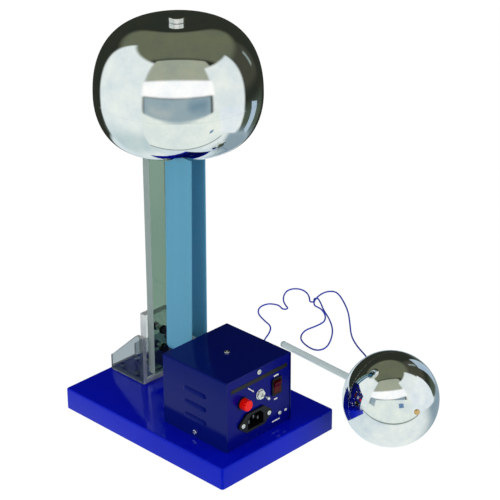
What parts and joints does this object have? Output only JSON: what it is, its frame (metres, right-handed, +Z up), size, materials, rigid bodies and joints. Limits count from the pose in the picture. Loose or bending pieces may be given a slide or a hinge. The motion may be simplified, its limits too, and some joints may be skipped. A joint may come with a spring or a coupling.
{
  "type": "van de graaff generator",
  "caption": "Belt-driven electrostatic generator: polished hollow dome on a clear upright, motor box with mains inlet on a base plate, and a discharge ball on a clear handle with its lead.",
  "frame": {"origin": "middle of the base on the table, at the underside of the anti-slip mat", "axes": "+Z up; the control panel faces -Y, the control box stands at -Y and the clear upright at +Y"},
  "size_m": [0.4346, 0.3871, 0.4726],
  "materials": {
    "blue_paint": "gloss",
    "navy_paint": "gloss",
    "mat_rubber": "matt",
    "zinc_steel": "satin",
    "screw_steel": "bright",
    "dark_steel": "satin",
    "polished_steel": "mirror polished",
    "brass": "satin",
    "belt_rubber": "satin",
    "clear_acrylic": "clear",
    "black_plastic": "satin",
    "red_plastic": "gloss",
    "lamp_red": "gloss, translucent",
    "white_nylon": "satin",
    "core_steel": "dull",
    "copper": "varnished",
    "board_green": "satin",
    "part_grey": "satin",
    "fuse_glass": "clear",
    "lead_blue": "satin"
  },
  "bodies": {
    "root": {"base_pan": "blue_paint", "base_floor_plate": "zinc_steel", "base_mat": "mat_rubber", "base_plate_screws": "screw_steel", "box_chassis": "navy_paint", "box_cover": "navy_paint", "cover_screws": "screw_steel", "box_mount_screws": "screw_steel", "inlet_body": "black_plastic", "inlet_pins": "screw_steel", "inlet_screws": "screw_steel", "fuse_holder": "black_plastic", "toggle_body": "zinc_steel", "toggle_nut": "screw_steel", "rocker_housing": "black_plastic", "earth_screw": "screw_steel", "transformer_core": "core_steel", "transformer_coil": "copper", "rectifier_board": "board_green", "board_parts": "part_grey", "motor_case": "zinc_steel", "motor_end_cap": "black_plastic", "motor_bracket": "zinc_steel", "motor_screws": "screw_steel", "rear_bearing": "brass", "charge_belt": "belt_rubber", "lower_comb_post": "zinc_steel", "lower_comb": "brass", "foot_wall": "clear_acrylic", "foot_gussets": "clear_acrylic", "foot_floor": "clear_acrylic", "foot_screws": "screw_steel", "upright": "clear_acrylic", "upright_bolts": "dark_steel", "dome_arm": "zinc_steel", "upper_axle": "zinc_steel", "upper_fixings": "screw_steel", "upper_comb": "brass", "dome_stud": "zinc_steel", "base_socket": "black_plastic", "lead_plug": "black_plastic", "lead_wire": "lead_blue"},
    "rocker": {"rocker_button": "lamp_red"},
    "toggle": {"toggle_lever": "polished_steel"},
    "fuse_carrier": {"fuse_cap": "red_plastic", "fuse_link": "fuse_glass"},
    "drive": {"motor_rotor": "core_steel", "shaft_coupler": "brass", "roller_shaft": "zinc_steel", "lower_roller": "white_nylon", "shaft_nut": "dark_steel"},
    "idler": {"upper_roller": "white_nylon"},
    "dome": {"dome_upper_shell": "polished_steel", "dome_lower_shell": "polished_steel"},
    "knob": {"dome_knob": "polished_steel"},
    "wand": {"ball_front_shell": "polished_steel", "ball_rear_shell": "polished_steel", "wand_rod": "clear_acrylic", "wand_collar": "polished_steel", "wand_bolt": "brass"}
  },
  "joints": [
    {"name": "rocker_tilt", "type": "hinge", "parent": "root", "child": "rocker", "pos_m": [0.0158, -0.1045, 0.0785], "axis": [-1, 0, 0], "range_deg": [0, 18]},
    {"name": "toggle_throw", "type": "hinge", "parent": "root", "child": "toggle", "pos_m": [-0.0098, -0.1074, 0.0785], "axis": [1, 0, 0], "range_deg": [-13, 13]},
    {"name": "fuse_turn", "type": "hinge", "parent": "root", "child": "fuse_carrier", "pos_m": [-0.0364, -0.106, 0.0785], "axis": [0, 1, 0], "range_deg": [0, 90]},
    {"name": "drive_spin", "type": "hinge", "parent": "root", "child": "drive", "pos_m": [-0.0041, 0.0121, 0.094], "axis": [0, 1, 0], "continuous": true},
    {"name": "idler_spin", "type": "hinge", "parent": "root", "child": "idler", "pos_m": [0, 0.0121, 0.4], "axis": [0, 1, 0], "continuous": true},
    {"name": "dome_lift", "type": "slide", "parent": "root", "child": "dome", "axis": [0, 0, 1], "range_m": [0, 0.14]},
    {"name": "knob_turn", "type": "hinge", "parent": "dome", "child": "knob", "pos_m": [0, 0.0215, 0.4697], "axis": [0, 0, 1], "continuous": true},
    {"name": "wand_lift", "type": "slide", "parent": "root", "child": "wand", "axis": [0, 0, 1], "range_m": [0, 0.2]}
  ],
  "couplings": [
    {"joint": "idler_spin", "follows": "drive_spin", "ratio": 1.206}
  ]
}
